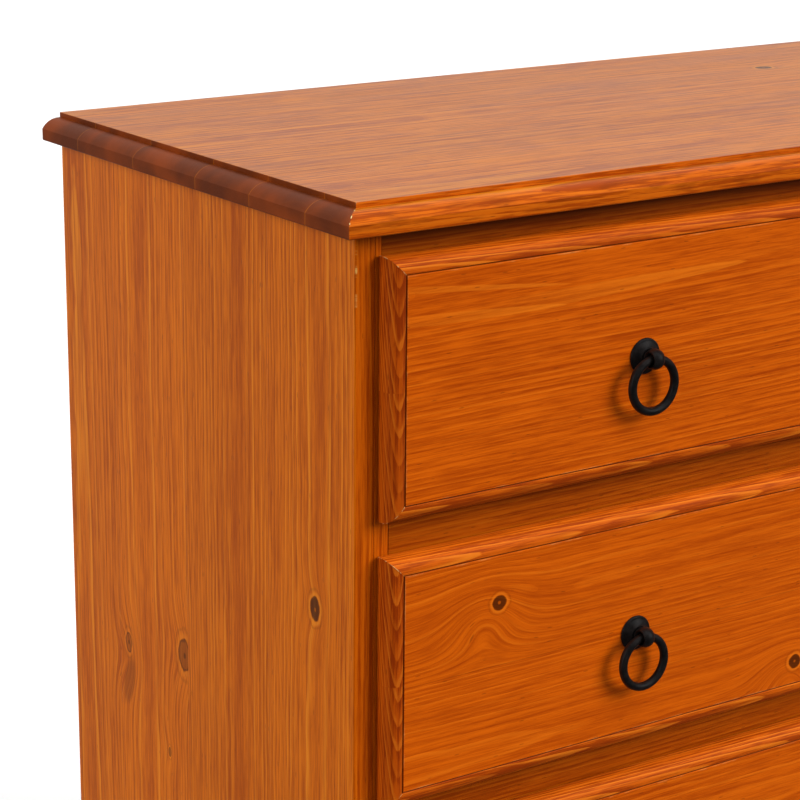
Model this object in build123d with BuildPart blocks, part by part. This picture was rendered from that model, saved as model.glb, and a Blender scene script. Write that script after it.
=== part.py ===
from build123d import *

import os

# Chest of four drawers in solid pine, in millimetres. +Z is up, the drawers open towards -Y,
# and the origin is on the floor, midway across, between the front of the pulls and the back.

# Whole chest
HEIGHT = 940
BODY_WIDTH = 886
BODY_DEPTH = 432
DRAWERS = 4

# Top board and its moulded edge
TOP_THICK = 21.5
SIDE_OVERHANG = 17
FRONT_OVERHANG = 18
EDGE_STEP = 4.0
EDGE_INSET = 16.0
EDGE_LEDGE = 1.6
EDGE_FLAT = 9.5
EDGE_ROUND = 1.5
STEP_ROUND = 0.6

# Carcass boards
SIDE_THICK = 16
STILE_WIDTH = 12
STILE_DEPTH = 40
RAIL_DEPTH = 20
TOP_RAIL_LET_IN = 7
TENON_LENGTH = 8
TENON_THICK = 10
TENON_SHOULDER = 8
JOINT_CHAMFER = 0.4
CORNER_ROUND = 1.5

# Back
REBATE_DEPTH = 6
REBATE_WIDTH = 8
BACK_THICK = 5
BACK_RAIL_THICK = 18
BACK_RAIL_HEIGHT = 46
PANEL_CLEARANCE = 0.5

# Runners, guides and cleats
RUNNER_LEDGE = 27
RUNNER_HEIGHT = 30
GUIDE_THICK = 14
GUIDE_HEIGHT = 25
CLEAT = 20

# Glides
GLIDE_HEIGHT = 3
GLIDE_RADIUS = 7.5
PIN_RADIUS = 1.5
PIN_LENGTH = 12
GLIDE_SETBACK = 35

# Drawer fronts
FRONT_PITCH = 216
FRONT_HEIGHT = 190
FRONT_DROP = 38.5
FRONT_INSET = 18
FRONT_LAP = 7
FRONT_THICK = 16.5
FRONT_CHAMFER = 0.8
CLOSING_GAP = 0.5

# Moulding round each drawer front
MOULDING_WIDTH = 12.5
MOULDING_FLAT = 6
MOULDING_STRIP = 3.2
MOULDING_BACK_ROUND = 2.0
MITRE_GAP = 0.1

# Drawer box
BOX_WIDTH = 824
BOX_THICK = 12
BOX_HEIGHT = 165
BOX_DEPTH = 395
BOX_LIFT = 0.5
HOUSING = 4
GROOVE = 5
BOTTOM_THICK = 4
BOTTOM_RAISE = 10
BACK_SET_IN = 8
BACK_DROP = 5

# Ring pulls
PULL_SPACING = 402
PULL_DROP = 4
PULL_REACH = 11.5
ROSETTE_RADIUS = 13.75
ROSETTE_CHAMFER = 0.4
ROSETTE_LIP = 1.5
DISH_RADIUS = 10.4
DISH_HEIGHT = 2.5
COLLAR_RADIUS = 7.4
COLLAR_HEIGHT = 4.3
COLLAR_STEP = 0.7
NECK_RADIUS = 5.0
NECK_TAPER = 0.8
NECK_INTO_EYE = 0.2
EYE_RADIUS = 5.9
EYE_HALF_WIDTH = 4.8
EYE_WALL = 1.9
EYE_EDGE = 1.2
RING_RADIUS = 19.75
RING_BAR = 3.25

# Screws
SHANK_RADIUS = 2.0
HEAD_RADIUS = 4.0
HEAD_HEIGHT = 2.5
PULL_SCREW_BITE = 6
FIXING_BITE = 10
FIXING_SPACING = (660, 90)
TOP_SCREW_BITE = 13

# Worked out from the above
HALF = BODY_WIDTH / 2
INNER = HALF - SIDE_THICK
OPEN = INNER - STILE_WIDTH
EYE_OUTER = EYE_RADIUS + EYE_WALL
PULL_OUT = CLOSING_GAP + FRONT_THICK + PULL_REACH + EYE_OUTER
FRONT_Y = (PULL_OUT - BODY_DEPTH) / 2
BACK_Y = FRONT_Y + BODY_DEPTH
BACK_FACE_Y = BACK_Y - REBATE_DEPTH
BACK_RAIL_Y = BACK_FACE_Y - BACK_RAIL_THICK
STILE_Y = FRONT_Y + STILE_DEPTH
RAIL_Y = FRONT_Y + RAIL_DEPTH
TOP_UNDER = HEIGHT - TOP_THICK
DRAWER_Y = FRONT_Y - CLOSING_GAP
FACE_Y = DRAWER_Y - FRONT_THICK
FRONT_HALF = HALF - FRONT_INSET
BOX_HALF = BOX_WIDTH / 2
BOX_INNER = BOX_HALF - BOX_THICK
EYE_Y = FACE_Y - PULL_REACH

os.makedirs("parts", exist_ok=True)


def front_top(row):
    """Height of the top of a drawer front. Row 0 is the highest."""
    return HEIGHT - FRONT_DROP - row * FRONT_PITCH


def opening(row):
    """Lowest and highest z of the opening behind a drawer front."""
    top = front_top(row) - FRONT_LAP
    return top - FRONT_HEIGHT + 2 * FRONT_LAP, top


def pull_height(row):
    """Height of the pulls' pivots on a drawer front."""
    return front_top(row) - FRONT_HEIGHT / 2 - PULL_DROP


def fill(x, y, z, mode=Mode.ADD):
    """Box over three (low, high) ranges, in the part being built."""
    with Locations(((x[0] + x[1]) / 2, (y[0] + y[1]) / 2, (z[0] + z[1]) / 2)):
        Box(x[1] - x[0], y[1] - y[0], z[1] - z[0], mode=mode)


def across(side, low, high):
    """The (low, high) range of x on one side of the middle. Side is -1 on the left, 1 on the right."""
    return tuple(sorted((side * low, side * high)))


def save(made, name):
    """Labels a finished piece and writes its STEP file."""
    made.part.label = name
    export_step(made.part, f"parts/{name}.step")


def edge_profile(start, end):
    """Section of the top board between two vertical faces, moulded at one or both of them."""
    arris = HEIGHT - TOP_THICK + EDGE_FLAT
    ledge = HEIGHT - EDGE_STEP
    inner = EDGE_INSET - EDGE_LEDGE
    low = (start + EDGE_ROUND, TOP_UNDER)
    Polyline(low, (end, TOP_UNDER), (end, HEIGHT), (start + EDGE_INSET, HEIGHT),
             (start + EDGE_INSET, ledge), (start + inner, ledge))
    TangentArc((start + inner, ledge), (start, arris), tangent=(-1, 0))
    Line((start, arris), (start, TOP_UNDER + EDGE_ROUND))
    TangentArc((start, TOP_UNDER + EDGE_ROUND), low, tangent=(0, -1))


def make_top_board():
    """Top board: its section across meets its section from front to back at mitred corners."""
    half = HALF + SIDE_OVERHANG
    front = FRONT_Y - FRONT_OVERHANG
    with BuildPart() as top:
        with BuildSketch(Plane.XZ.offset(-BACK_Y)):
            with BuildLine():
                edge_profile(-half, 0)
            make_face()
            mirror(about=Plane.YZ)
        extrude(amount=BACK_Y - front)
        with BuildSketch(Plane.YZ.offset(-half)):
            with BuildLine():
                edge_profile(front, BACK_Y)
            make_face()
        extrude(amount=2 * half, mode=Mode.INTERSECT)
        arris = top.faces().filter_by(Axis.Z).sort_by(Axis.Z)[-1].edges()
        fillet(arris.sort_by(Axis.Y)[:-1], STEP_ROUND)
        with Locations(*[(side * (INNER - CLEAT / 2), y, TOP_UNDER + TOP_SCREW_BITE / 2)
                         for side in (-1, 1) for y in cleat_screw_places()]):
            Cylinder(SHANK_RADIUS, TOP_SCREW_BITE, mode=Mode.SUBTRACT)
    save(top, "top_board")


def cleat_screw_places():
    """The y of the screws along each cleat."""
    middle = (STILE_Y + BACK_RAIL_Y) / 2
    reach = (BACK_RAIL_Y - STILE_Y) / 2 - STILE_DEPTH
    return [middle - reach, middle, middle + reach]


def glide_places():
    """The y of the glides under each side panel."""
    return [FRONT_Y + GLIDE_SETBACK, (FRONT_Y + BACK_Y) / 2, BACK_Y - GLIDE_SETBACK]


def make_side(side, name):
    """Side panel, rebated for the back, with holes for the glides' pins."""
    with BuildPart() as panel:
        fill(across(side, INNER, HALF), (FRONT_Y, BACK_Y), (GLIDE_HEIGHT, TOP_UNDER))
        fill(across(side, INNER, INNER + REBATE_WIDTH), (BACK_FACE_Y, BACK_Y),
             (GLIDE_HEIGHT, TOP_UNDER), Mode.SUBTRACT)
        front_edges = panel.edges().filter_by(Axis.Z).group_by(Axis.Y)[0].sort_by(Axis.X)
        outer, inner = (front_edges[0], front_edges[-1])[::-side]
        fillet(outer, CORNER_ROUND)
        chamfer(inner, JOINT_CHAMFER)
        with Locations(*[(side * (HALF - SIDE_THICK / 2), y, GLIDE_HEIGHT + PIN_LENGTH / 2)
                         for y in glide_places()]):
            Cylinder(PIN_RADIUS, PIN_LENGTH, mode=Mode.SUBTRACT)
    save(panel, name)


def tenon_range(low, high):
    """The z range of the tenon on a rail that spans low to high."""
    return low + TENON_SHOULDER, high - TENON_SHOULDER


def tenon_depth():
    """The y range of a rail's tenon."""
    return FRONT_Y + (RAIL_DEPTH - TENON_THICK) / 2, FRONT_Y + (RAIL_DEPTH + TENON_THICK) / 2


def lower_rails():
    """Lowest and highest z of each rail under a drawer, from the top down."""
    spans = [(opening(row + 1)[1], opening(row)[0]) for row in range(DRAWERS - 1)]
    return spans + [(GLIDE_HEIGHT, opening(DRAWERS - 1)[0])]


def make_stile(side, name):
    """Stile inside the side panel, mortised for the lower rails and notched for the top rail."""
    with BuildPart() as stile:
        fill(across(side, OPEN, INNER), (FRONT_Y, STILE_Y), (GLIDE_HEIGHT, TOP_UNDER))
        for low, high in lower_rails():
            fill(across(side, OPEN, OPEN + TENON_LENGTH), tenon_depth(), tenon_range(low, high),
                 Mode.SUBTRACT)
        front_edges = stile.edges().filter_by(Axis.Z).group_by(Axis.Y)[0]
        chamfer(front_edges, JOINT_CHAMFER)
        fill(across(side, OPEN, OPEN + TOP_RAIL_LET_IN), (FRONT_Y, RAIL_Y),
             (opening(0)[1], TOP_UNDER), Mode.SUBTRACT)
    save(stile, name)


def make_top_rail():
    """Rail over the top drawer, let into a notch in each stile."""
    end = OPEN + TOP_RAIL_LET_IN
    with BuildPart() as rail:
        fill((-end, end), (FRONT_Y, RAIL_Y), (opening(0)[1], TOP_UNDER))
        chamfer(rail.edges().filter_by(Axis.Z).group_by(Axis.Y)[0], JOINT_CHAMFER)
    save(rail, "top_rail")


def make_lower_rail(low, high, name):
    """Rail under a drawer, with a stub tenon at each end."""
    with BuildPart() as rail:
        fill((-OPEN, OPEN), (FRONT_Y, RAIL_Y), (low, high))
        chamfer(rail.edges().filter_by(Axis.Z).group_by(Axis.Y)[0], JOINT_CHAMFER)
        for side in (-1, 1):
            fill(across(side, OPEN, OPEN + TENON_LENGTH), tenon_depth(), tenon_range(low, high))
    save(rail, name)


def make_back():
    """Plywood back in the side panels' rebates, and the two rails that it is pinned to."""
    half = INNER + REBATE_WIDTH - PANEL_CLEARANCE
    low_rail = (opening(DRAWERS - 1)[0] - BACK_RAIL_HEIGHT, opening(DRAWERS - 1)[0])
    top_rail = (TOP_UNDER - BACK_RAIL_HEIGHT, TOP_UNDER)
    with BuildPart() as back:
        fill((-half, half), (BACK_FACE_Y, BACK_FACE_Y + BACK_THICK), (low_rail[0], TOP_UNDER))
    save(back, "back_panel")
    with BuildPart() as rails:
        for span in (low_rail, top_rail):
            fill((-INNER, INNER), (BACK_RAIL_Y, BACK_FACE_Y), span)
    save(rails, "back_rails")


def make_runners():
    """Runner and guide in one L-shaped length, at both sides of each drawer."""
    with BuildPart() as runners:
        for row in range(DRAWERS):
            floor = opening(row)[0]
            for side in (-1, 1):
                ledge = (floor - RUNNER_HEIGHT, floor)
                fill(across(side, INNER - RUNNER_LEDGE, OPEN), (RAIL_Y, BACK_RAIL_Y), ledge)
                fill(across(side, OPEN, INNER), (STILE_Y, BACK_RAIL_Y), ledge)
                fill(across(side, INNER - GUIDE_THICK, INNER), (STILE_Y, BACK_RAIL_Y),
                     (floor, floor + GUIDE_HEIGHT))
    save(runners, "drawer_runners")


def make_cleats():
    """Cleats under the top board, each bored for its screws."""
    with BuildPart() as cleats:
        for side in (-1, 1):
            fill(across(side, INNER - CLEAT, INNER), (STILE_Y, BACK_RAIL_Y),
                 (TOP_UNDER - CLEAT, TOP_UNDER))
        for side in (-1, 1):
            for y in cleat_screw_places():
                with Locations(Plane((side * (INNER - CLEAT / 2), y, TOP_UNDER - CLEAT),
                                     x_dir=(1, 0, 0), z_dir=(0, 0, -1))):
                    CounterSinkHole(SHANK_RADIUS, HEAD_RADIUS, depth=CLEAT)
    save(cleats, "top_cleats")


def screw_outline(grip):
    """Half outline of a countersunk screw: head at zero, point at grip, axis along y."""
    cone = HEAD_RADIUS - SHANK_RADIUS
    Polyline((0, 0), (HEAD_RADIUS, 0), (SHANK_RADIUS, cone), (SHANK_RADIUS, grip - SHANK_RADIUS),
             (0, grip), (0, 0))


def make_top_screws():
    """Screws up through the cleats into the top board."""
    grip = CLEAT + TOP_SCREW_BITE
    with BuildPart() as screws:
        for side in (-1, 1):
            for y in cleat_screw_places():
                with BuildSketch(Plane((side * (INNER - CLEAT / 2), y, TOP_UNDER - CLEAT),
                                       x_dir=(1, 0, 0), z_dir=(0, -1, 0))) as section:
                    with BuildLine():
                        screw_outline(grip)
                    make_face()
                revolve(section.sketch, axis=Axis((side * (INNER - CLEAT / 2), y, 0), (0, 0, 1)))
    save(screws, "top_screws")


def make_glides():
    """Nail-on glides under the side panels."""
    with BuildPart() as glides:
        spots = [(side * (HALF - SIDE_THICK / 2), y) for side in (-1, 1) for y in glide_places()]
        with BuildSketch(Plane.XY):
            with Locations(*spots):
                Circle(GLIDE_RADIUS)
        extrude(amount=GLIDE_HEIGHT)
        chamfer(glides.edges().group_by(Axis.Z)[0], GLIDE_HEIGHT / 3)
        with BuildSketch(Plane.XY.offset(GLIDE_HEIGHT)):
            with Locations(*spots):
                Circle(PIN_RADIUS)
        extrude(amount=PIN_LENGTH)
    save(glides, "foot_glides")


def make_front_board(row, name):
    """Flat board of a drawer front, bored for the pulls' screws."""
    half = FRONT_HALF - MOULDING_WIDTH
    top = front_top(row) - MOULDING_WIDTH
    low = front_top(row) - FRONT_HEIGHT + MOULDING_WIDTH
    with BuildPart() as board:
        fill((-half, half), (FACE_Y, DRAWER_Y), (low, top))
        chamfer(board.faces().sort_by(Axis.Y)[0].edges(), FRONT_CHAMFER)
        for side in (-1, 1):
            with Locations(Plane((side * PULL_SPACING / 2, FACE_Y, pull_height(row)),
                                 x_dir=(1, 0, 0), z_dir=(0, -1, 0))):
                Hole(SHANK_RADIUS, depth=FRONT_THICK)
        for x, z in fixing_places(row):
            with Locations(Plane((x, DRAWER_Y, z), x_dir=(1, 0, 0), z_dir=(0, 1, 0))):
                Hole(SHANK_RADIUS, depth=FIXING_BITE)
    save(board, name)


def fixing_places(row):
    """The (x, z) of the screws that hold a drawer front to its box."""
    middle = opening(row)[0] + BOX_LIFT + BOX_HEIGHT / 2
    return [(i * FIXING_SPACING[0] / 2, middle + j * FIXING_SPACING[1] / 2)
            for i in (-1, 1) for j in (-1, 1)]


def moulding_outline():
    """Outline of the moulding's section: x from its outer edge inwards, y from its back forwards."""
    curve_x = MOULDING_WIDTH - MOULDING_STRIP
    curve_y = FRONT_THICK - MOULDING_FLAT
    back = MOULDING_BACK_ROUND
    TangentArc((back, 0), (0, back), tangent=(-1, 0))
    Line((0, back), (0, MOULDING_FLAT))
    EllipticalCenterArc((curve_x, MOULDING_FLAT), curve_x, curve_y, start_angle=90, arc_size=90)
    Polyline((curve_x, FRONT_THICK), (MOULDING_WIDTH - FRONT_CHAMFER, FRONT_THICK),
             (MOULDING_WIDTH, FRONT_THICK - FRONT_CHAMFER), (MOULDING_WIDTH, 0), (back, 0))


def moulding_strip(corner, along, inward, length):
    """One mitred length of moulding, from an outer corner of the drawer front."""
    forward = Vector(0, -1, 0)
    start = Vector(*corner)
    ends = [start + along * MITRE_GAP, start + along * (length - MITRE_GAP),
            start + along * (length - MITRE_GAP - MOULDING_WIDTH) + inward * MOULDING_WIDTH,
            start + along * (MITRE_GAP + MOULDING_WIDTH) + inward * MOULDING_WIDTH]
    with BuildPart() as strip:
        with BuildSketch(Plane(start, x_dir=inward, z_dir=inward.cross(forward))):
            with BuildLine():
                moulding_outline()
            make_face()
        extrude(amount=length, both=True)
        with BuildSketch(Plane.XZ.offset(-start.Y)) as trapezium:
            with BuildLine():
                Polyline(*[(p.X, p.Z) for p in ends], (ends[0].X, ends[0].Z))
            make_face()
        extrude(trapezium.sketch, amount=FRONT_THICK, mode=Mode.INTERSECT)
    return strip.part


def make_moulding(row, name):
    """Four mitred lengths of moulding round a drawer front, as separate solids."""
    top = front_top(row)
    low = top - FRONT_HEIGHT
    right, up = Vector(1, 0, 0), Vector(0, 0, 1)
    width = 2 * FRONT_HALF
    strips = [moulding_strip((-FRONT_HALF, DRAWER_Y, top), right, -up, width),
              moulding_strip((-FRONT_HALF, DRAWER_Y, low), right, up, width),
              moulding_strip((-FRONT_HALF, DRAWER_Y, low), up, right, FRONT_HEIGHT),
              moulding_strip((FRONT_HALF, DRAWER_Y, low), up, -right, FRONT_HEIGHT)]
    with BuildPart() as moulding:
        for strip in strips:
            add(strip)
    save(moulding, name)


def box_span(row):
    """Lowest and highest z of a drawer box."""
    low = opening(row)[0] + BOX_LIFT
    return low, low + BOX_HEIGHT


def make_box_side(row, side, name):
    """Drawer side, grooved for the bottom and housed for the box's front and back."""
    low, high = box_span(row)
    floor = low + BOTTOM_RAISE
    back = DRAWER_Y + BOX_DEPTH - BACK_SET_IN
    with BuildPart() as board:
        fill(across(side, BOX_INNER, BOX_HALF), (DRAWER_Y, DRAWER_Y + BOX_DEPTH), (low, high))
        fill(across(side, BOX_INNER, BOX_INNER + GROOVE), (DRAWER_Y, DRAWER_Y + BOX_DEPTH),
             (floor, floor + BOTTOM_THICK), Mode.SUBTRACT)
        fill(across(side, BOX_INNER, BOX_INNER + HOUSING), (DRAWER_Y, DRAWER_Y + BOX_THICK),
             (low, high), Mode.SUBTRACT)
        fill(across(side, BOX_INNER, BOX_INNER + HOUSING), (back - BOX_THICK, back),
             (floor + BOTTOM_THICK, high - BACK_DROP), Mode.SUBTRACT)
    save(board, name)


def make_box_front(row, name):
    """Front of the drawer box, bored for the pulls' and the front's screws."""
    low, high = box_span(row)
    half = BOX_INNER + HOUSING
    inside = DRAWER_Y + BOX_THICK
    with BuildPart() as board:
        fill((-half, half), (DRAWER_Y, inside), (low, high))
        fill((-half, half), (inside - GROOVE, inside),
             (low + BOTTOM_RAISE, low + BOTTOM_RAISE + BOTTOM_THICK), Mode.SUBTRACT)
        for side in (-1, 1):
            with Locations(Plane((side * PULL_SPACING / 2, inside, pull_height(row)),
                                 x_dir=(1, 0, 0), z_dir=(0, 1, 0))):
                Hole(SHANK_RADIUS, depth=BOX_THICK)
        for x, z in fixing_places(row):
            with Locations(Plane((x, inside, z), x_dir=(1, 0, 0), z_dir=(0, 1, 0))):
                CounterSinkHole(SHANK_RADIUS, HEAD_RADIUS, depth=BOX_THICK)
    save(board, name)


def make_box_back(row, name):
    """Back of the drawer box, standing on the bottom."""
    low, high = box_span(row)
    half = BOX_INNER + HOUSING
    back = DRAWER_Y + BOX_DEPTH - BACK_SET_IN
    with BuildPart() as board:
        fill((-half, half), (back - BOX_THICK, back),
             (low + BOTTOM_RAISE + BOTTOM_THICK, high - BACK_DROP))
    save(board, name)


def make_bottom(row, name):
    """Plywood bottom, in the grooves of the box's sides and front."""
    floor = box_span(row)[0] + BOTTOM_RAISE
    half = BOX_INNER + GROOVE - PANEL_CLEARANCE
    front = DRAWER_Y + BOX_THICK - GROOVE + PANEL_CLEARANCE
    with BuildPart() as panel:
        fill((-half, half), (front, DRAWER_Y + BOX_DEPTH - BACK_SET_IN / 2),
             (floor, floor + BOTTOM_THICK))
    save(panel, name)


def post_outline():
    """Half outline of a pull post: x from its axis, y from the drawer front outwards.

    A dished rosette rises to a collar, and a tapered neck stands on the collar."""
    rim = (ROSETTE_RADIUS, ROSETTE_CHAMFER)
    lip = (ROSETTE_RADIUS - ROSETTE_LIP, ROSETTE_CHAMFER + ROSETTE_LIP)
    collar = (COLLAR_RADIUS, COLLAR_HEIGHT)
    shoulder = COLLAR_HEIGHT + COLLAR_STEP
    neck_end = PULL_REACH - EYE_RADIUS + NECK_INTO_EYE
    Polyline((0, 0), (ROSETTE_RADIUS - ROSETTE_CHAMFER, 0), rim)
    RadiusArc(rim, lip, -ROSETTE_LIP)
    Spline(lip, (DISH_RADIUS, DISH_HEIGHT), collar, tangents=((-1, 0), (-1, 1)))
    Polyline(collar, (COLLAR_RADIUS - COLLAR_STEP, shoulder), (NECK_RADIUS, shoulder),
             (NECK_RADIUS - NECK_TAPER, neck_end), (0, neck_end), (0, 0))


def eye_outline():
    """Section of the eye: x along the pivot, y out from it, bulging on both faces and at its ends."""
    half = EYE_HALF_WIDTH - EYE_EDGE / 3
    low = EYE_RADIUS - EYE_EDGE / 2
    high = EYE_RADIUS + EYE_EDGE / 2
    ThreePointArc((-half, low), (0, EYE_RADIUS - EYE_WALL), (half, low))
    ThreePointArc((half, low), (EYE_HALF_WIDTH, EYE_RADIUS), (half, high))
    ThreePointArc((half, high), (0, EYE_RADIUS + EYE_WALL), (-half, high))
    ThreePointArc((-half, high), (-EYE_HALF_WIDTH, EYE_RADIUS), (-half, low))


def make_posts(row, name):
    """The two pull posts: turned rosette and neck, with a rounded eye pierced from side to side."""
    height = pull_height(row)
    spots = (-PULL_SPACING / 2, PULL_SPACING / 2)
    with BuildPart() as posts:
        for x in spots:
            with BuildSketch(Plane((x, FACE_Y, height), x_dir=(1, 0, 0), z_dir=(0, 0, -1))) as turned:
                with BuildLine():
                    post_outline()
                make_face()
            revolve(turned.sketch, axis=Axis((x, FACE_Y, height), (0, 1, 0)))
            with BuildSketch(Plane((x, EYE_Y, height), x_dir=(1, 0, 0), z_dir=(0, -1, 0))) as eye:
                with BuildLine():
                    eye_outline()
                make_face()
            revolve(eye.sketch, axis=Axis((x, EYE_Y, height), (1, 0, 0)))
        for x in spots:
            with Locations(Plane((x, FACE_Y, height), x_dir=(1, 0, 0), z_dir=(0, 1, 0))):
                Hole(SHANK_RADIUS, depth=PULL_SCREW_BITE)
    save(posts, name)


def make_ring(row, side, name):
    """Pull ring, hanging through its eye."""
    with BuildPart() as ring:
        with Locations(Location((side * PULL_SPACING / 2, EYE_Y, pull_height(row) - RING_RADIUS),
                                (90, 0, 0))):
            Torus(RING_RADIUS, RING_BAR)
    save(ring, name)


def make_drawer_screws(row, name):
    """Pan-head screws into the pull posts, and countersunk screws into the drawer front."""
    inside = DRAWER_Y + BOX_THICK
    grip = BOX_THICK + FRONT_THICK + PULL_SCREW_BITE
    with BuildPart() as screws:
        for side in (-1, 1):
            head = Plane((side * PULL_SPACING / 2, inside, pull_height(row)),
                         x_dir=(1, 0, 0), z_dir=(0, 1, 0))
            with BuildSketch(head) as rim:
                Circle(HEAD_RADIUS)
            extrude(rim.sketch, amount=HEAD_HEIGHT)
            with BuildSketch(head) as shank:
                Circle(SHANK_RADIUS)
            extrude(shank.sketch, amount=-grip)
        for x, z in fixing_places(row):
            with BuildSketch(Plane((x, inside, z), x_dir=(1, 0, 0), z_dir=(0, 0, -1))) as section:
                with BuildLine():
                    screw_outline(BOX_THICK + FIXING_BITE)
                make_face()
            revolve(section.sketch, axis=Axis((x, inside, z), (0, 1, 0)))
    save(screws, name)


def make_drawer(row):
    """All the pieces of one drawer."""
    name = f"drawer_{row + 1}"
    make_front_board(row, f"{name}_front")
    make_moulding(row, f"{name}_moulding")
    make_box_side(row, -1, f"{name}_side_left")
    make_box_side(row, 1, f"{name}_side_right")
    make_box_front(row, f"{name}_box_front")
    make_box_back(row, f"{name}_box_back")
    make_bottom(row, f"{name}_bottom")
    make_posts(row, f"{name}_pull_posts")
    make_ring(row, -1, f"{name}_ring_left")
    make_ring(row, 1, f"{name}_ring_right")
    make_drawer_screws(row, f"{name}_screws")


make_top_board()
make_side(-1, "side_left")
make_side(1, "side_right")
make_stile(-1, "stile_left")
make_stile(1, "stile_right")
make_top_rail()
for number, (low, high) in enumerate(lower_rails()[:-1], 1):
    make_lower_rail(low, high, f"mid_rail_{number}")
make_lower_rail(*lower_rails()[-1], "plinth_rail")
make_back()
make_runners()
make_cleats()
make_top_screws()
make_glides()
for row in range(DRAWERS):
    make_drawer(row)
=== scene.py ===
import math

import bpy
from mathutils import Matrix, Vector


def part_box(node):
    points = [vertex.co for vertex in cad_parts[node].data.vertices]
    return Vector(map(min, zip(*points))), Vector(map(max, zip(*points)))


# The looks of a stained pine chest of drawers, in metres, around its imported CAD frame.
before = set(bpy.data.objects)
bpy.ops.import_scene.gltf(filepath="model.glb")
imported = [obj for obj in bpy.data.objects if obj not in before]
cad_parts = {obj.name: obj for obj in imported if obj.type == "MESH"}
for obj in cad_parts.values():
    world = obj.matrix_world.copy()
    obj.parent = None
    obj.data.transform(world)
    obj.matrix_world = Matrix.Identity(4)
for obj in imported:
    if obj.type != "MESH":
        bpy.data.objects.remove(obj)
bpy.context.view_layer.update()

DRAWERS = 4
X, Y, Z = 0, 1, 2


def colour(red, green, blue):
    """Linear colour of an sRGB colour given in 0 to 255."""
    steps = [value / 255 for value in (red, green, blue)]
    return tuple([s / 12.92 if s <= 0.04045 else ((s + 0.055) / 1.055) ** 2.4 for s in steps] + [1.0])


# ---------------------------------------------------------------- node arithmetic


class Field:
    """A number that varies over a surface or the sky. Arithmetic on it adds nodes to its material."""

    def __init__(self, paint, socket):
        self.paint = paint
        self.socket = socket

    def math(self, operation, *others):
        return self.paint.math(operation, self, *others)

    def __add__(self, other):
        return self.math("ADD", other)

    __radd__ = __add__

    def __sub__(self, other):
        return self.math("SUBTRACT", other)

    def __rsub__(self, other):
        return self.paint.math("SUBTRACT", other, self)

    def __mul__(self, other):
        return self.math("MULTIPLY", other)

    __rmul__ = __mul__

    def __truediv__(self, other):
        return self.math("DIVIDE", other)

    def __neg__(self):
        return self.math("MULTIPLY", -1.0)

    def __abs__(self):
        return self.math("ABSOLUTE")

    def squared(self):
        return self.math("MULTIPLY", self)

    def root(self):
        return self.math("SQRT")

    def power(self, exponent):
        return self.math("POWER", exponent)

    def floor(self):
        return self.math("FLOOR")

    def over(self, edge):
        """1 where the field is above edge, else 0."""
        return self.math("GREATER_THAN", edge)

    def larger(self, other):
        return self.math("MAXIMUM", other)

    def smaller(self, other):
        return self.math("MINIMUM", other)

    def smooth(self, low, high, start=0.0, end=1.0):
        """Goes smoothly from start to end as the field goes from low to high."""
        node = self.paint.node("ShaderNodeMapRange", interpolation_type="SMOOTHSTEP")
        values = (self, low, high, start, end)
        for name, value in zip(("Value", "From Min", "From Max", "To Min", "To Max"), values):
            self.paint.put(node.inputs[name], value)
        return Field(self.paint, node.outputs["Result"])


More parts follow.
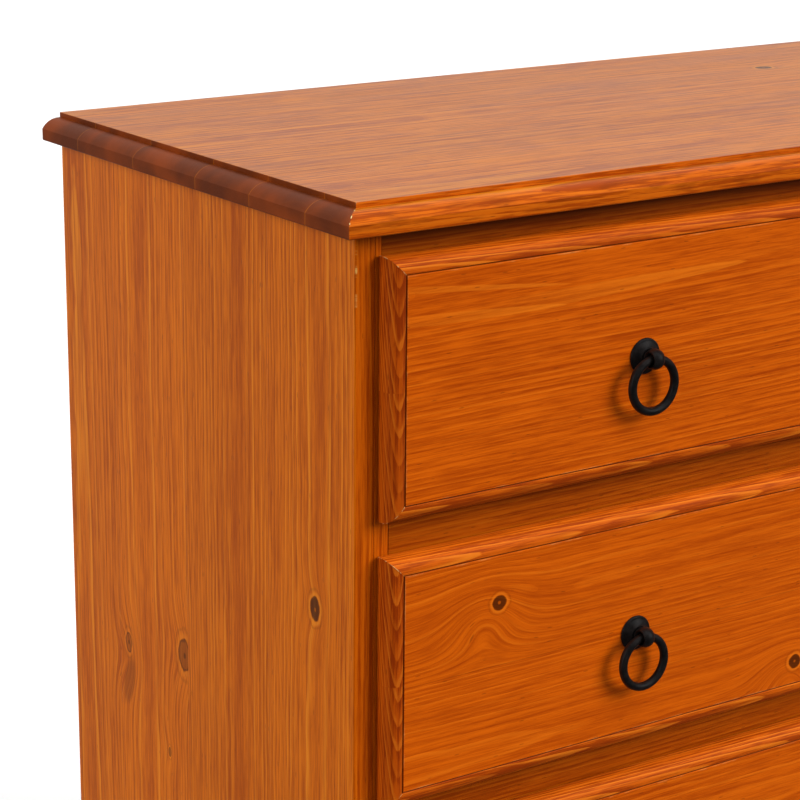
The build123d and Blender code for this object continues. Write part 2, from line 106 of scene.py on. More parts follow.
class Paint:
    """A material, or the world, and the nodes that it is made of.

    place holds a point's x, y and z in metres, or in the world a direction's. facing is its normal."""

    def __init__(self, name, owner=None):
        self.owner = owner or bpy.data.materials.new(name)
        self.owner.use_nodes = True
        self.tree = self.owner.node_tree
        self.tree.nodes.clear()
        place = self.node("ShaderNodeTexCoord")
        self.place = self.axes(place.outputs["Generated" if owner else "Object"])
        self.facing = self.axes(place.outputs["Normal"])

    def node(self, kind, **settings):
        node = self.tree.nodes.new(kind)
        for name, value in settings.items():
            setattr(node, name, value)
        return node

    def put(self, socket, value):
        """Links a field or a socket to a socket, or sets the socket to a value."""
        if isinstance(value, Field):
            value = value.socket
        if isinstance(value, bpy.types.NodeSocket):
            self.tree.links.new(value, socket)
        else:
            socket.default_value = value

    def math(self, operation, *values):
        node = self.node("ShaderNodeMath", operation=operation)
        for socket, value in zip(node.inputs, values):
            self.put(socket, value)
        return Field(self, node.outputs[0])

    def axes(self, vector):
        """The three fields of a vector."""
        node = self.node("ShaderNodeSeparateXYZ")
        self.put(node.inputs[0], vector)
        return [Field(self, output) for output in node.outputs]

    def vector(self, x, y, z):
        node = self.node("ShaderNodeCombineXYZ")
        for socket, value in zip(node.inputs, (x, y, z)):
            self.put(socket, value)
        return node.outputs[0]

    def noise(self, vector, detail=2.0, roughness=0.5):
        """Smooth noise from 0 to 1, about one lump for each unit of the vector."""
        node = self.node("ShaderNodeTexNoise")
        inputs = {"Vector": vector, "Scale": 1.0, "Detail": detail, "Roughness": roughness}
        for name, value in inputs.items():
            self.put(node.inputs[name], value)
        return Field(self, node.outputs[0])

    def cells(self, vector):
        """Distance to the nearest of scattered points, and a random number for that point."""
        node = self.node("ShaderNodeTexVoronoi")
        self.put(node.inputs["Vector"], vector)
        self.put(node.inputs["Scale"], 1.0)
        return Field(self, node.outputs["Distance"]), self.axes(node.outputs["Color"])[0]

    def chance(self, value):
        """Three random numbers from 0 to 1 that hold wherever the value holds."""
        node = self.node("ShaderNodeTexWhiteNoise", noise_dimensions="1D")
        self.put(node.inputs["W"], value)
        return self.axes(node.outputs["Color"])

    def mix(self, share, first, second, blend="MIX"):
        """Colour between first and second."""
        node = self.node("ShaderNodeMix", data_type="RGBA", blend_type=blend)
        self.put(node.inputs[0], share)
        self.put(node.inputs[6], first)
        self.put(node.inputs[7], second)
        return node.outputs[2]

    def choose(self, share, first, second):
        """Number between first and second."""
        node = self.node("ShaderNodeMix", data_type="FLOAT")
        self.put(node.inputs[0], share)
        self.put(node.inputs[2], first)
        self.put(node.inputs[3], second)
        return Field(self, node.outputs[0])

    def finish(self, base, roughness, height, relief, **fixed):
        """Ends the material in one shader. Height is a field from 0 to 1, relief its depth in metres."""
        shader = self.node("ShaderNodeBsdfPrincipled")
        self.put(shader.inputs["Base Color"], base)
        self.put(shader.inputs["Roughness"], roughness)
        for name, value in fixed.items():
            self.put(shader.inputs[name.replace("_", " ")], value)
        bump = self.node("ShaderNodeBump")
        bump.inputs["Distance"].default_value = relief
        bump.inputs["Strength"].default_value = 1.0
        self.put(bump.inputs["Height"], height)
        self.put(shader.inputs["Normal"], bump.outputs[0])
        output = self.node("ShaderNodeOutputMaterial")
        self.put(output.inputs["Surface"], shader.outputs[0])
        return self.owner


# ---------------------------------------------------------------- pine


# Usual distance between two growth rings
RING_SPACING = 0.0034
# Knots darker than this have a pale pith, and paler ones a dark pith
DARK_KNOT = 0.6


class Knot:
    """A knot on a board's face: its place along and across the grain, and its half sizes.

    The grain is pushed aside by swirl ring spacings, less and less over the distance reach, about
    a point that is drift away from the knot. A knot on the low side of a glued joint or on its
    high side is cut off there: cut is the joint's place, side is -1 or 1."""

    def __init__(self, along, across, long=0.006, wide=0.005, reach=0.025, swirl=3.0, dark=1.0,
                 drift=(0.0, 0.0), cut=None, side=1):
        self.along = along
        self.across = across
        self.long = long
        self.wide = wide
        self.reach = reach
        self.swirl = swirl
        self.dark = dark
        self.drift = drift
        self.cut = cut
        self.side = side


def knot_fields(paint, along, across, knots):
    """How far knots push the grain aside, and the masks of the parts of a knot.

    A point's distance from a knot is 1 at the knot's edge."""
    fields = dict.fromkeys(("push", "heart", "rim", "halo", "pith"), 0.0)
    wobble = paint.noise(paint.vector(along * 150, across * 150, 0.0), 1.0) - 0.5
    for knot in knots:
        far_along = (along - knot.along) / knot.long
        far_across = (across - knot.across) / knot.wide
        distance = (far_along.squared() + far_across.squared()).root() + wobble * 0.4
        aside = (along - knot.along - knot.drift[0]) / (knot.reach * 1.3)
        over = (across - knot.across - knot.drift[1]) / knot.reach
        pull = paint.math("EXPONENT", -(aside.squared() + over.squared()))
        shown = 1.0
        if knot.cut is not None:
            shown = ((across - knot.cut) * knot.side).over(0.0)
        mask = knot.dark * shown
        fields["push"] = fields["push"] + pull * (knot.swirl * RING_SPACING) * shown
        fields["heart"] = fields["heart"] + distance.smooth(1.04, 0.84) * mask
        rim = distance.smooth(1.12, 1.00) * distance.smooth(0.80, 0.98) * shown
        core = distance.smooth(0.30, 0.12) * shown * (0.8 if knot.dark < DARK_KNOT else 0.0)
        ring = distance.smooth(1.90, 1.72) * distance.smooth(1.50, 1.68) * shown
        fields["rim"] = fields["rim"] + rim * 0.9 + ring * 0.22 + core
        fields["halo"] = fields["halo"] + distance.smooth(1.06, 1.16) * distance.smooth(1.60, 1.28) * mask
        pale_pith = 1.0 if knot.dark > DARK_KNOT else 0.0
        fields["pith"] = fields["pith"] + distance.smooth(0.24, 0.10) * mask * pale_pith
    return fields


class Tongue:
    """A pointed lighter figure where a growth ring runs out of the face.

    Its tip is at along and across. From there it opens towards low along, on an axis that slopes by
    tilt, to the length long and about the half width wide."""

    def __init__(self, along, across, tilt, long, wide, bright=1.0):
        self.along = along
        self.across = across
        self.tilt = tilt
        self.long = long
        self.wide = wide
        self.bright = bright


def tongue_field(paint, along, across, tongues):
    """Brighter just inside a tongue's outline, and fading towards its root."""
    total = 0.0
    ripple = paint.noise(paint.vector(along * 55, across * 30, 0.0), 2.0) - 0.5
    for tongue in tongues:
        behind = (tongue.along - along) / tongue.long
        middle = (along - tongue.along) * tongue.tilt + tongue.across
        half = behind.larger(0.0).power(0.4) * tongue.wide
        inside = half - abs(across - middle) + ripple * (tongue.wide * 0.35)
        shape = inside.smooth(0.0, 0.0010) * inside.smooth(0.0045, 0.0012, 0.55, 1.0)
        total = total + shape * behind.over(0.0) * behind.smooth(1.6, 0.5) * tongue.bright
    return total


# Stained pine's colours: early and late wood, soaked-in stain that also paints shade, knots, end grain,
# and worn arrises that also paint highlights
EARLY_DARK = colour(160, 62, 3)
EARLY_LIGHT = colour(208, 98, 12)
LATE = colour(226, 124, 32)
DEEP_STAIN_AND_SHADE = colour(96, 34, 6)
KNOT = colour(60, 25, 9)
KNOT_RIM = colour(44, 16, 6)
END_DARK = colour(98, 30, 4)
END_LIGHT = colour(138, 47, 8)
END_LINE = colour(160, 66, 14)
WORN_AND_HIGHLIGHT = colour(240, 196, 150)

# How strongly each part of the chest is stained: shares of red, green and blue. The top's, the side's and
# the top rail's tones also paint light, as noted below.
# The top's paler, greener tone is partly painted sheen for the pale reflection the top shows.
TOP_TONE = (0.88, 1.26, 0.95)
NOSE_TONE = (0.98, 0.98, 0.75)
# The side's lighter, greener tone is partly painted light for the whiter light that falls on the side.
SIDE_TONE = (1.12, 1.30, 1.04)
FRONT_TONE = (1.0, 0.885, 0.5)
STILE_TONE = (0.84, 0.76, 0.34)
RAIL_TONE = (0.60, 0.56, 0.30)
# The top rail's tone is darker than the other rails': painted shade from the top board's overhang.
TOP_RAIL_SHADED_TONE = (0.50, 0.48, 0.30)
LYING_TONE = (0.86, 0.76, 0.50)
UPRIGHT_TONE = (0.62, 0.48, 0.30)


def pine_grain(paint, along, across, deep, seed, boards=(), knots=(), tongues=(),
               spacing=RING_SPACING, pith=(0.0, 0.055), tilt=0.004, slant=0.0, wander=1.0,
               loose=1.0):
    """The fields that pine is painted from, on boards that are glued edge to edge.

    boards are the places across the grain where they meet, from low to high. The growth rings
    are circles about a pith that lies pith away from each board's middle, across and deep, or from
    zero where no boards are given. Their lines run slant to the board and close into pointed
    figures as tilt lifts the board off the pith. loose is how much boards differ, wander how much
    the lines wave."""
    index = 0.0
    middle = 0.0
    joint = 0.0
    if boards:
        width = boards[1] - boards[0] if len(boards) > 1 else 0.1
        ends = [boards[0] - width] + list(boards) + [boards[-1] + width]
        centres = [(ends[i] + ends[i + 1]) / 2 for i in range(len(ends) - 1)]
        middle = centres[0]
        for number, place in enumerate(boards):
            step = across.over(place)
            index = index + step
            middle = middle + step * (centres[number + 1] - centres[number])
            joint = joint + abs(across - place).smooth(0.0005, 0.0001)
    luck = paint.chance(index + seed)
    slow = paint.noise(paint.vector(along * 2.2 + luck[0] * 40, across * 5, seed), 1.0) - 0.5
    wave = paint.noise(paint.vector(along * 16 + luck[1] * 50, across * 26, deep * 20), 2.0) - 0.5
    shift = slow * (0.020 * wander) + wave * (0.0022 * wander)
    marks = knot_fields(paint, along, across, knots) if knots else {}
    level = across - along * slant + marks.get("push", 0.0)
    offset = level - middle - pith[0] - (luck[0] - 0.5) * 0.05 * loose + shift
    lift = tilt + (luck[2] - 0.5) * 0.012 * loose
    depth = deep + pith[1] + (luck[1] - 0.5) * 0.04 * loose + along * lift
    radius = (offset.squared() + depth.squared()).root()
    phase = radius / spacing + wave * 0.5
    ring = phase.floor()
    part = phase - ring
    year = paint.chance(ring + seed * 7)
    late = part.smooth(0.56, 0.90) * part.smooth(1.0, 0.94) * year[0].smooth(0.0, 1.0, 0.20, 1.0)
    early = part.smooth(0.0, 0.6)
    fine = paint.noise(paint.vector(along * 34, level * 850, deep * 850), 3.0, 0.65)
    coarse = paint.noise(paint.vector(along * 8 + luck[2] * 9, level * 300, deep * 300), 2.0, 0.55)
    blotch = paint.noise(paint.vector(along * 5 + luck[1] * 9, level * 30, deep * 30), 2.0, 0.5)
    near, pick = paint.cells(paint.vector(along * 85, level * 520, deep * 520))
    fleck = near.smooth(0.26, 0.12) * pick.over(0.93)
    grain = {"late": late, "early": early, "fine": fine, "coarse": coarse, "blotch": blotch,
             "fleck": fleck, "tone": luck[1], "year": year[1], "knots": marks}
    if boards:
        grain["joint"] = joint
    if tongues:
        grain["tongue"] = tongue_field(paint, along, across, tongues)
    return grain


def stained(paint, grain, tone=FRONT_TONE, end=None, edge=None, worn=None, stain=None, contrast=1.0,
            strength=1.0):
    """Stained and lacquered pine's colour. The stain takes more in the soft early wood.

    tone is how much of the red, green and blue the board's own stain lets through. contrast is how
    far the late wood stands out, strength how uneven the early wood is."""
    body = (grain["coarse"] - 0.5) * 0.9 + (grain["fine"] - 0.5) * 1.3 + (grain["early"] - 0.5) * 0.16
    body = body + (grain["blotch"] - 0.5) * 0.35 + (grain["year"] - 0.5) * 0.12
    body = body * strength + 0.5
    base = paint.mix(body.smooth(0.10, 0.90), EARLY_DARK, EARLY_LIGHT)
    streak = grain["coarse"].smooth(0.38, 0.60) * 0.7 + 0.3
    line = grain["late"] * streak * contrast
    base = paint.mix((line * 0.38).smaller(1.0), base, LATE)
    if "tongue" in grain:
        base = paint.mix((grain["tongue"] * (grain["fine"] * 0.5 + 0.35)).smaller(1.0), base, LATE)
    knots = grain["knots"]
    if knots:
        base = paint.mix(knots["halo"] * 0.55, base, LATE)
        base = paint.mix(knots["heart"] * 0.88, base, KNOT)
        base = paint.mix((knots["rim"] * 0.8).smaller(1.0), base, KNOT_RIM)
        base = paint.mix(knots["pith"] * 0.5, base, EARLY_LIGHT)
    base = paint.mix(grain["fleck"] * 0.5, base, DEEP_STAIN_AND_SHADE)
    if "joint" in grain:
        base = paint.mix(grain["joint"] * 0.35, base, DEEP_STAIN_AND_SHADE)
    if end is not None:
        soaked = paint.mix(grain["blotch"].smooth(0.3, 0.7), END_DARK, END_LIGHT)
        soaked = paint.mix((line * 0.10).smaller(1.0), soaked, END_LINE)
        if "joint" in grain:
            soaked = paint.mix(grain["joint"] * 0.5, soaked, EARLY_LIGHT)
        base = paint.mix(end, base, soaked)
    if stain is not None:
        base = paint.mix(stain, base, DEEP_STAIN_AND_SHADE)
    # edge: painted shade under the top board's overhang and at the back of the mouldings, and stain with
    # painted shade in the grooves round the panels
    if edge is not None:
        base = paint.mix(edge, base, DEEP_STAIN_AND_SHADE)
    # worn: chips and wear, and painted highlights along the panels' arrises and the mouldings' mitres
    if worn is not None:
        base = paint.mix(worn, base, WORN_AND_HIGHLIGHT)
    bright = grain["tone"].smooth(0.0, 1.0, 0.94, 1.05)
    red, green, blue = tone
    return paint.mix(1.0, base, paint.vector(bright * red, bright * green, bright * blue), "MULTIPLY")


# What the lacquer's reflections look like head on: amber on flat boards, paler on rounded ones
AMBER = (1.0, 0.50, 0.14, 1.0)
PALE = (1.0, 0.66, 0.40, 1.0)


def lacquer(paint, grain, base, sheen=AMBER, dull=0.27, gloss=0.5, end=0.0):
    """Satin lacquer over the colour: the fibres and flecks telegraph through it a little.

    End grain soaks the lacquer up and stays duller."""
    rough = grain["fine"] * 0.10 + grain["blotch"] * 0.10 + dull + end * 0.16
    height = grain["fine"] * 0.35 + grain["late"] * 0.35 - grain["fleck"] * 0.8
    if "joint" in grain:
        height = height - grain["joint"]
    return paint.finish(base, rough, height, 0.00005, IOR=1.45, Specular_IOR_Level=gloss,
                        Specular_Tint=sheen)


def end_share(normal_along):
    """How much of the end grain a face shows, from its normal's part along the grain."""
    return abs(normal_along).smooth(0.35, 0.85)


def stained_board(name, grain_axis, face_axis, seed=0.0, tone=FRONT_TONE, face=0.0, extra=None,
                  contrast=1.0, strength=1.0, edge_tone=None, **options):
    """Material of a board with its grain along one axis and its show face across another.

    edge_tone is how strongly the board's front edge is stained, if not like its show face."""
    paint = Paint(name)
    across_axis = 3 - grain_axis - face_axis
    along, across = paint.place[grain_axis], paint.place[across_axis]
    deep = paint.place[face_axis] - face
    grain = pine_grain(paint, along, across, deep, seed, **options)
    marks = extra(paint) if extra else {}
    end = end_share(paint.facing[grain_axis])
    if "end" in marks:
        end = end.larger(marks["end"])
    if edge_tone:
        forward = paint.facing[Y].smooth(-0.15, -0.50)
        tone = [paint.choose(forward, face_share, share) for face_share, share in zip(tone, edge_tone)]
    base = stained(paint, grain, tone, end, marks.get("edge"), marks.get("worn"), marks.get("stain"),
                   contrast, strength)
    return lacquer(paint, grain, base, end=end)


def dress(node, material):
    """Gives a CAD node's object one material in all its slots."""
    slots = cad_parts[node].data.materials
    for number in range(len(slots)):
        slots[number] = material
    if not len(slots):
        slots.append(material)


# ---------------------------------------------------------------- outside of the chest

top_low, top_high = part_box("top_board")
side_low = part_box("side_left")[0]
side_reach = -side_low.x
# From the CAD: how far the top board's moulded edge steps in, and the width of a drawer's moulding
EDGE_INSET = 0.016
MOULDING_WIDTH = 0.0125


def top_marks(paint):
    """The moulded ends soak up stain, and the arris between edge and end is worn pale.

    Stain has run darker in streaks on the top face and in smears along the front edge."""
    from_end = top_high.x - abs(paint.place[X])
    from_front = paint.place[Y] - top_low.y
    beyond_mitre = (from_front - from_end).smooth(-0.0004, 0.0004)
    end = from_end.smooth(EDGE_INSET + 0.0002, EDGE_INSET - 0.0005) * beyond_mitre
    flake = paint.noise(paint.vector(paint.place[X] * 300, paint.place[Y] * 300, paint.place[Z] * 170))
    near_end = from_end.smooth(EDGE_INSET + 0.002, EDGE_INSET - 0.002)
    mitre = abs(from_front - from_end).smooth(0.0007, 0.0002) * near_end
    worn = mitre * flake.smooth(0.52, 0.62)
    streak = paint.noise(paint.vector(paint.place[X] * 11, paint.place[Y] * 130, 0.0), 3.0, 0.6)
    smear = paint.noise(paint.vector(paint.place[X] * 22, 0.0, paint.place[Z] * 170), 3.0, 0.6)
    front = paint.facing[Y].smooth(-0.25, -0.65)
    upper = paint.facing[Z].smooth(0.90, 0.98)
    stain = front * (smear.smooth(0.46, 0.72) * 0.42 + 0.16) + upper * streak.smooth(0.56, 0.80) * 0.55
    return {"end": end, "worn": worn, "stain": stain}


TOP_JOINTS = (-0.161, -0.087, -0.011, 0.083, 0.173)
SIDE_JOINTS = (-0.082, 0.0406, 0.153)

TOP_KNOTS = (Knot(0.21, 0.12, 0.008, 0.006), Knot(0.33, -0.13, 0.009, 0.007))
dress("top_board", stained_board("pine_top", X, Z, seed=3.0, face=top_high.z, extra=top_marks,
                                 boards=TOP_JOINTS, knots=TOP_KNOTS, tone=TOP_TONE,
                                 edge_tone=NOSE_TONE, contrast=0.9, strength=2.8))


def side_marks(paint):
    """Chips on the front arris, near its top."""
    from_front = paint.place[Y] - side_low.y
    from_middle = abs(paint.place[X])
    flake = paint.noise(paint.vector(paint.place[Z] * 90, 0.0, 0.0), 3.0, 0.7)
    near = from_front.smooth(0.0012, 0.0004) * from_middle.smooth(side_reach - 0.0018, side_reach - 0.001)
    high = paint.place[Z].smooth(0.850, 0.885) * 0.8
    return {"worn": near * flake.smooth(0.50, 0.60) * high}


def left_marks(paint):
    """The chips, and a leaning patch below a knot where stain has soaked in deeper."""
    marks = side_marks(paint)
    patch_y, patch_z = 0.1387, 0.4817
    half_wide, half_high, lean = 0.0085, 0.021, 0.25
    above = paint.place[Z] - patch_z
    aside = (paint.place[Y] - patch_y + above * lean) / half_wide
    outward = (aside.squared() + (above / half_high).squared()).root()
    marks["stain"] = outward.smooth(1.25, 0.75) * 0.42
    return marks


LEFT_KNOTS = (Knot(0.6335, -0.146, 0.0090, 0.0060, 0.016, 2.4),
              Knot(0.534, 0.0465, 0.0130, 0.0085, 0.026, 4.0, 0.55, (0.0, 0.0), 0.0406),
              Knot(0.515, 0.139, 0.0080, 0.0050, 0.024, 4.5, 0.40, (-0.014, 0.0)),
              Knot(0.4416, 0.073, 0.0040, 0.0022, 0.014, 1.5, 0.60),
              Knot(0.17, -0.05, 0.0090, 0.0060, 0.020, 2.0), Knot(0.25, 0.19, 0.006, 0.004, 0.020, 2.0))
RIGHT_KNOTS = (Knot(0.71, 0.05, 0.009, 0.006, 0.020, 2.0), Knot(0.33, -0.12, 0.008, 0.005, 0.020, 2.5),
               Knot(0.48, 0.17, 0.005, 0.004, 0.015, 2.0, 0.8))
for side, seed, face, extra, knots in (("left", 11.0, -side_reach, left_marks, LEFT_KNOTS),
                                       ("right", 17.0, side_reach, side_marks, RIGHT_KNOTS)):
    dress(f"side_{side}", stained_board(f"pine_side_{side}", Z, X, seed=seed, face=face, extra=extra,
                                        boards=SIDE_JOINTS, knots=knots, tone=SIDE_TONE,
                                        edge_tone=STILE_TONE, contrast=2.0, strength=1.2))
for number, node in enumerate(("stile_left", "stile_right")):
    dress(node, stained_board(f"pine_{node}", Z, Y, seed=21.0 + number, tone=STILE_TONE, strength=1.4,
                              face=side_low.y, pith=(0.09, 0.03), loose=0.2))


def top_rail_painted_shade(paint):
    """Painted shade: the top rail darkens towards the top board, under its overhang."""
    return {"edge": (paint.place[Z] - top_low.z).smooth(-0.020, 0.0) * 0.8}


for number, node in enumerate(("top_rail", "mid_rail_1", "mid_rail_2", "mid_rail_3", "plinth_rail")):
    low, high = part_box(node)
    # The top rail gets painted shade: a darker tone, and darkening towards the top board under the
    # overhang.
    highest = node == "top_rail"
    dress(node, stained_board(f"pine_{node}", X, Y, seed=31.0 + number, face=low.y,
                              tone=TOP_RAIL_SHADED_TONE if highest else RAIL_TONE,
                              extra=top_rail_painted_shade if highest else None,
                              pith=((low.z + high.z) / 2 + 0.06, 0.03), loose=0.2, strength=1.3))


# ---------------------------------------------------------------- drawer fronts


def front_marks(node):
    """Darker in the groove round the panel: stain gathered there, with painted shade. The panel's arris
    is paler in places: wear, with a painted highlight.
    """
    low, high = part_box(node)
    middle = (low + high) / 2
    half = (high - low) / 2

    def marks(paint):
        from_side = half.x - abs(paint.place[X] - middle.x)
        from_edge = half.z - abs(paint.place[Z] - middle.z)
        nearest = from_side.smaller(from_edge)
        # Painted shade and gathered stain in the groove round the panel.
        groove = nearest.smooth(0.0007, 0.0002)
        flake = paint.noise(paint.vector(paint.place[X] * 60, 0.0, paint.place[Z] * 60), 3.0, 0.65)
        # Pale arris: a painted highlight broken up like wear.
        arris = nearest.smooth(0.0016, 0.0010) * nearest.smooth(0.0004, 0.0009)
        return {"edge": groove * 0.9, "worn": arris * flake.smooth(0.46, 0.72) * 0.28}

    return marks


# How each front's board was sawn. The first has no knots but a run of tongues near its top.
TONGUES = (Tongue(-0.1037, 0.8621, 0.030, 0.170, 0.0062, 0.95),
           Tongue(-0.270, 0.8654, -0.09, 0.140, 0.0030, 0.8),
           Tongue(-0.274, 0.8508, -0.035, 0.120, 0.0045, 0.8),
           Tongue(0.19, 0.8560, 0.02, 0.180, 0.0070, 0.9),
           Tongue(0.33, 0.8700, 0.01, 0.150, 0.0035, 0.8))
FRONTS = {
    1: dict(tongues=TONGUES, pith=(0.880, 0.060), tilt=0.006, spacing=0.0036, loose=0.0, seed=41.3,
            slant=0.02),
    2: dict(boards=(0.588,), seed=43.7, contrast=0.9, strength=0.8, spacing=0.0023,
            knots=(Knot(-0.3290, 0.6365, 0.0058, 0.0055, 0.026, -7.8, 1.0, (-0.013, -0.008), 0.588),
                   Knot(-0.0346, 0.5272, 0.0058, 0.0055, 0.024, -7.0, 1.0, (-0.006, -0.006), 0.588, -1),
                   Knot(0.262, 0.612, 0.005, 0.004, 0.018, 4.0, 0.8, (0.003, -0.003)))),
    3: dict(boards=(0.39,), seed=47.1, knots=(Knot(-0.12, 0.352, 0.006, 0.005, 0.020, 5.0),
                                              Knot(0.31, 0.411, 0.005, 0.0045, 0.018, 4.0))),
    4: dict(boards=(0.155,), seed=53.9, knots=(Knot(0.09, 0.131, 0.007, 0.006, 0.022, 5.0),
                                               Knot(-0.30, 0.196, 0.004, 0.004, 0.016, 3.0))),
}


def dress_front(number):
    """The flat board of a drawer's front."""
    node = f"drawer_{number}_front"
    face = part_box(node)[0].y
    dress(node, stained_board(f"pine_{node}", X, Y, face=face, extra=front_marks(node), **FRONTS[number]))


def dress_moulding(number):
    """Each strip's grain runs along it, and the strips meet on their mitres."""
    node = f"drawer_{number}_moulding"
    low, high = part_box(node)
    middle = (low + high) / 2
    half = (high - low) / 2
    paint = Paint(f"pine_{node}")
    x, z = paint.place[X] - middle.x, paint.place[Z] - middle.z
    from_side = half.x - abs(x)
    from_edge = half.z - abs(z)
    upright = (from_edge - from_side).over(0.0)
    which = x.over(0.0) + z.over(0.0) * 2 + upright * 4
    along = paint.choose(upright, x, z)
    across = paint.choose(upright, from_edge, from_side)
    deep = paint.place[Y] - low.y
    seed = which * 3.7 + number * 61.0
    tilt = paint.choose(upright, 0.03, -0.13)
    grain = pine_grain(paint, along, across, deep, seed, spacing=0.0026, pith=(0.008, 0.022),
                       tilt=tilt, wander=0.8, loose=0.3)
    mitre = abs(from_side - from_edge)
    flake = paint.noise(paint.vector(paint.place[X] * 400, paint.place[Y] * 400, paint.place[Z] * 400))
    # Pale line along each mitre: a painted highlight on the mitre's arris, broken up like wear.
    worn = mitre.smooth(0.0006, 0.0002) * flake.smooth(0.48, 0.60) * 0.85
    inner = from_side.smaller(from_edge)
    # Darker at the strip's inner edge by the panel: stain gathered in the groove, with painted shade.
    groove = inner.smooth(MOULDING_WIDTH - 0.0006, MOULDING_WIDTH - 0.0001) * 0.9
    # Darker towards the back, where the moulding meets the frame: painted shade.
    painted_back_shade = deep.smooth(0.0120, 0.0165) * 0.35
    tone = [paint.choose(upright, lying, standing) for lying, standing in zip(LYING_TONE, UPRIGHT_TONE)]
    base = stained(paint, grain, tone, edge=groove.larger(painted_back_shade), worn=worn, contrast=6.0, strength=2.2)
    dress(node, lacquer(paint, grain, base, sheen=PALE, dull=0.40, gloss=0.4))


for number in range(1, DRAWERS + 1):
    dress_front(number)
    dress_moulding(number)


# ---------------------------------------------------------------- inside of the chest


# Bare wood's colours
BARE_LIGHT = colour(222, 182, 128)
BARE_DARK = colour(188, 138, 84)
BARE_LATE = colour(168, 108, 56)
BARE_END = colour(150, 100, 58)
PLY_DARK = colour(186, 140, 92)
PLY_LIGHT = colour(208, 166, 116)
PLY_LINE = colour(160, 108, 64)
PLY_LAYER = colour(120, 78, 44)
PLY_LAYERS_PER_METRE = 1100


def bare_board(name, grain_axis, face_axis, seed):
    """Sanded pine with no finish, whose late wood is the darker part of each ring."""
    paint = Paint(name)
    across_axis = 3 - grain_axis - face_axis
    along, across, deep = paint.place[grain_axis], paint.place[across_axis], paint.place[face_axis]
    grain = pine_grain(paint, along, across, deep, seed, pith=(across_pith(seed), 0.05), loose=0.4)
    body = grain["coarse"] * 0.6 + grain["fine"] * 0.3 + grain["blotch"] * 0.3
    base = paint.mix(body.smooth(0.25, 0.95), BARE_DARK, BARE_LIGHT)
    base = paint.mix(grain["late"] * 0.45, base, BARE_LATE)
    base = paint.mix(end_share(paint.facing[grain_axis]) * 0.35, base, BARE_END)
    rough = grain["fine"] * 0.15 + 0.62
    height = grain["fine"] * 0.5 + grain["late"] * 0.3
    return paint.finish(base, rough, height, 0.00008, IOR=1.42)


def across_pith(seed):
    """Where a bare board's pith lies across it: it changes from board to board."""
    return math.sin(seed * 5.1) * 0.06


def plywood(name, grain_axis, face_axis, seed):
    """Thin plywood: a rotary-cut face veneer, and layers on its edges."""
    paint = Paint(name)
    across_axis = 3 - grain_axis - face_axis
    along, across, deep = paint.place[grain_axis], paint.place[across_axis], paint.place[face_axis]
    drift = paint.noise(paint.vector(along * 2.0, across * 6.0, seed), 2.0) - 0.5
    wide = paint.noise(paint.vector(along * 1.6, (across + drift * 0.05) * 34, seed), 3.0, 0.55)
    fine = paint.noise(paint.vector(along * 30, across * 1300, deep * 1300), 3.0, 0.6)
    rings = wide * 9.0
    loops = rings - rings.floor()
    line = loops.smooth(0.45, 0.85) * loops.smooth(1.0, 0.9)
    base = paint.mix(fine.smooth(0.3, 0.8), PLY_DARK, PLY_LIGHT)
    base = paint.mix(line * 0.4, base, PLY_LINE)
    layers = deep * PLY_LAYERS_PER_METRE + seed
    layer = layers - layers.floor()
    on_edge = abs(paint.facing[face_axis]).smooth(0.6, 0.3)
    base = paint.mix(on_edge * layer.over(0.5) * 0.6, base, PLY_LAYER)
    return paint.finish(base, fine * 0.15 + 0.6, fine + line * 0.4, 0.00005, IOR=1.42)


def steel():
    """Bright zinc plate."""
    paint = Paint("zinc_plate")
    x, y, z = paint.place
    cloud = paint.noise(paint.vector(x * 900, y * 900, z * 900), 3.0, 0.6)
    base = paint.mix(cloud, colour(176, 176, 168), colour(206, 204, 190))
    return paint.finish(base, cloud * 0.2 + 0.25, cloud, 0.00002, Metallic=1.0)


def glide_plastic():
    """Brown moulded plastic with a fine spark-eroded grain."""
    paint = Paint("glide_plastic")
    x, y, z = paint.place
    grit = paint.noise(paint.vector(x * 2500, y * 2500, z * 2500), 2.0)
    base = paint.mix(grit, colour(70, 52, 38), colour(92, 70, 52))
    return paint.finish(base, grit * 0.15 + 0.5, grit, 0.00004, IOR=1.46)


def black_iron():
    """Cast iron under a thin satin black coat, a little uneven."""
    paint = Paint("black_iron")
    x, y, z = paint.place
    lumps = paint.noise(paint.vector(x * 260, y * 260, z * 260), 2.0, 0.5)
    grit = paint.noise(paint.vector(x * 1800, y * 1800, z * 1800), 3.0, 0.6)
    base = paint.mix(lumps.smooth(0.3, 0.7), colour(11, 9, 9), colour(22, 18, 17))
    base = paint.mix(grit.smooth(0.62, 0.80) * 0.30, base, colour(44, 33, 27))
    rough = grit * 0.12 + lumps * 0.10 + 0.26
    return paint.finish(base, rough, grit * 0.4 + lumps * 0.6, 0.00010, IOR=1.5,
                        Specular_IOR_Level=0.26)


IRON = black_iron()
ZINC = steel()
PLASTIC = glide_plastic()
for number in range(1, DRAWERS + 1):
    name = f"drawer_{number}"
    seed = number * 13.0
    dress(f"{name}_side_left", bare_board(f"bare_{name}_side_left", Y, X, seed + 1))
    dress(f"{name}_side_right", bare_board(f"bare_{name}_side_right", Y, X, seed + 2))
    dress(f"{name}_box_front", bare_board(f"bare_{name}_box_front", X, Y, seed + 3))
    dress(f"{name}_box_back", bare_board(f"bare_{name}_box_back", X, Y, seed + 4))
    dress(f"{name}_bottom", plywood(f"plywood_{name}", X, Z, seed + 5))
    for piece in ("pull_posts", "ring_left", "ring_right"):
        dress(f"{name}_{piece}", IRON)
    dress(f"{name}_screws", ZINC)
dress("drawer_runners", bare_board("bare_runners", Y, Z, 71.0))
dress("top_cleats", bare_board("bare_cleats", Y, Z, 73.0))
dress("back_rails", bare_board("bare_back_rails", X, Y, 77.0))
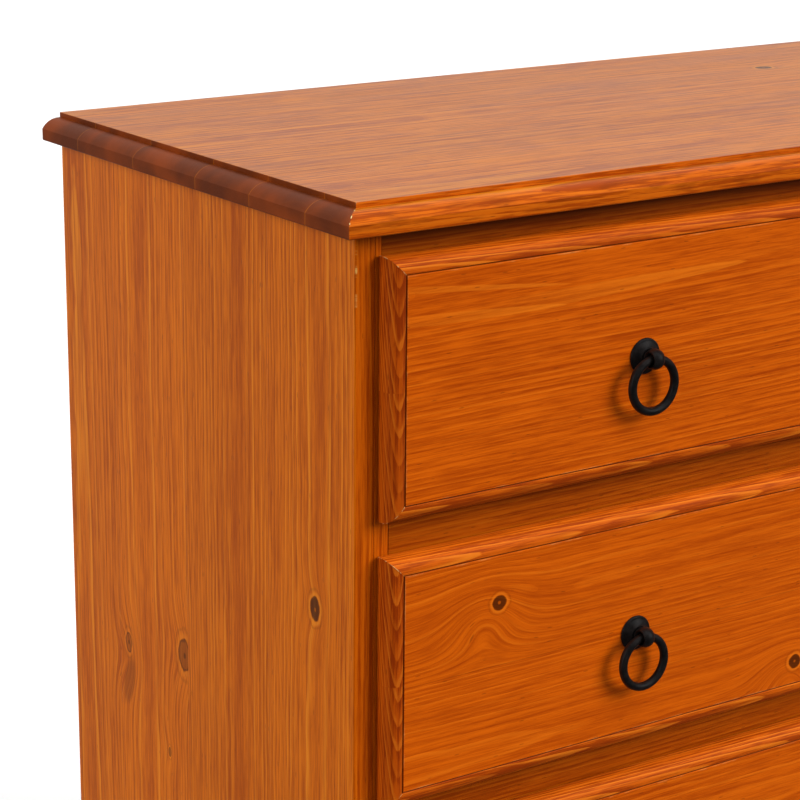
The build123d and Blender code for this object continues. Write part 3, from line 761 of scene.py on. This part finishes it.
dress("back_panel", plywood("plywood_back", Z, Y, 79.0))
dress("top_screws", ZINC)
dress("foot_glides", PLASTIC)


# ---------------------------------------------------------------- camera, floor and light


# The camera, as found from the photo's vanishing points and corners: its place from the chest's near
# top corner, how far it is turned right of +Y, tipped down and rolled in degrees, and its lens
CAMERA_PLACE = (-0.9182, -1.3951, 0.3364)
CAMERA_TURN = (34.405, 15.85, 0.439)
CAMERA_LENS = 114.08

# Each lamp: where it stands as seen from the chest, its strength, its spread in degrees, and the
# glow of the soft patch that reflections see in its place
LAMPS = {
    "key": ((0.59, -0.70, 0.41), 2.7, 32, 1.5),
    "fill": ((-0.95, -0.10, 0.30), 2.1, 40, 0.9),
    "overhead": ((0.15, -0.35, 0.92), 1.2, 50, 0.8),
}
# Where the white backdrop stands, as seen from the chest
BACKDROP = (0.45, 0.87, 0.20)


def add_camera():
    """Camera at the height of a standing viewer's chest, looking down on the near top corner."""
    corner = Vector((side_low.x, side_low.y, top_high.z))
    yaw, pitch, roll = (math.radians(angle) for angle in CAMERA_TURN)
    forward = Vector((math.sin(yaw) * math.cos(pitch), math.cos(yaw) * math.cos(pitch), -math.sin(pitch)))
    level = Vector((math.cos(yaw), -math.sin(yaw), 0.0))
    upward = level.cross(forward)
    right = level * math.cos(roll) + upward * math.sin(roll)
    up = upward * math.cos(roll) - level * math.sin(roll)
    data = bpy.data.cameras.new("camera")
    data.sensor_width = 36.0
    data.lens = CAMERA_LENS
    data.clip_end = 100.0
    camera = bpy.data.objects.new("camera", data)
    turn = Matrix((right, up, -forward)).transposed()
    camera.matrix_world = Matrix.Translation(corner + Vector(CAMERA_PLACE)) @ turn.to_4x4()
    bpy.context.scene.collection.objects.link(camera)
    bpy.context.scene.camera = camera


def add_floor():
    """Large pale floor. It throws no light back up, so the chest keeps its shadows."""
    mesh = bpy.data.meshes.new("floor")
    reach = 60.0
    mesh.from_pydata([(-reach, -reach, 0), (reach, -reach, 0), (reach, reach, 0), (-reach, reach, 0)],
                     [], [(0, 1, 2, 3)])
    floor = bpy.data.objects.new("floor", mesh)
    floor.visible_diffuse = False
    floor.visible_glossy = False
    bpy.context.scene.collection.objects.link(floor)
    paint = Paint("floor")
    shade = paint.noise(paint.vector(paint.place[X] * 0.8, paint.place[Y] * 0.8, 0.0), 2.0)
    base = paint.mix(shade, (0.93, 0.93, 0.93, 1), (0.96, 0.96, 0.96, 1))
    mesh.materials.append(paint.finish(base, 0.9, shade, 0.0001, Specular_IOR_Level=0.1))


def add_sun(name, toward, strength, spread):
    """Soft light from far away, so that it falls evenly on the whole floor.

    Reflections see the world's soft patches in its place, which don't burn out."""
    data = bpy.data.lights.new(name, "SUN")
    data.energy = strength
    data.angle = math.radians(spread)
    lamp = bpy.data.objects.new(name, data)
    lamp.rotation_euler = Vector(toward).to_track_quat("Z", "Y").to_euler()
    lamp.visible_glossy = False
    bpy.context.scene.collection.objects.link(lamp)


def along_aim(place, aim):
    """How nearly a direction points along aim: 1 where it does."""
    return place[X] * aim[X] + place[Y] * aim[Y] + place[Z] * aim[Z]


def add_world():
    """A dim room with a white backdrop behind the chest, and a soft patch round each lamp.

    The picture's own background is white."""
    world = bpy.data.worlds.new("studio")
    sky = Paint("studio", world)
    backdrop = along_aim(sky.place, BACKDROP).smooth(0.35, 0.80) * 0.75
    room = sky.place[Z].smooth(-0.3, 0.9, 0.09, 0.15)
    for toward, _, _, glow in LAMPS.values():
        room = room + along_aim(sky.place, Vector(toward).normalized()).smooth(0.88, 0.98) * glow
    seen = Field(sky, sky.node("ShaderNodeLightPath").outputs["Is Camera Ray"])
    light = sky.node("ShaderNodeBackground")
    sky.put(light.inputs["Strength"], (backdrop + room).larger(seen))
    output = sky.node("ShaderNodeOutputWorld")
    sky.put(output.inputs["Surface"], light.outputs[0])
    bpy.context.scene.world = world


bpy.context.scene.view_settings.view_transform = "Standard"
add_camera()
add_floor()
add_world()
for lamp_name, (toward, strength, spread, _) in LAMPS.items():
    add_sun(lamp_name, toward, strength, spread)
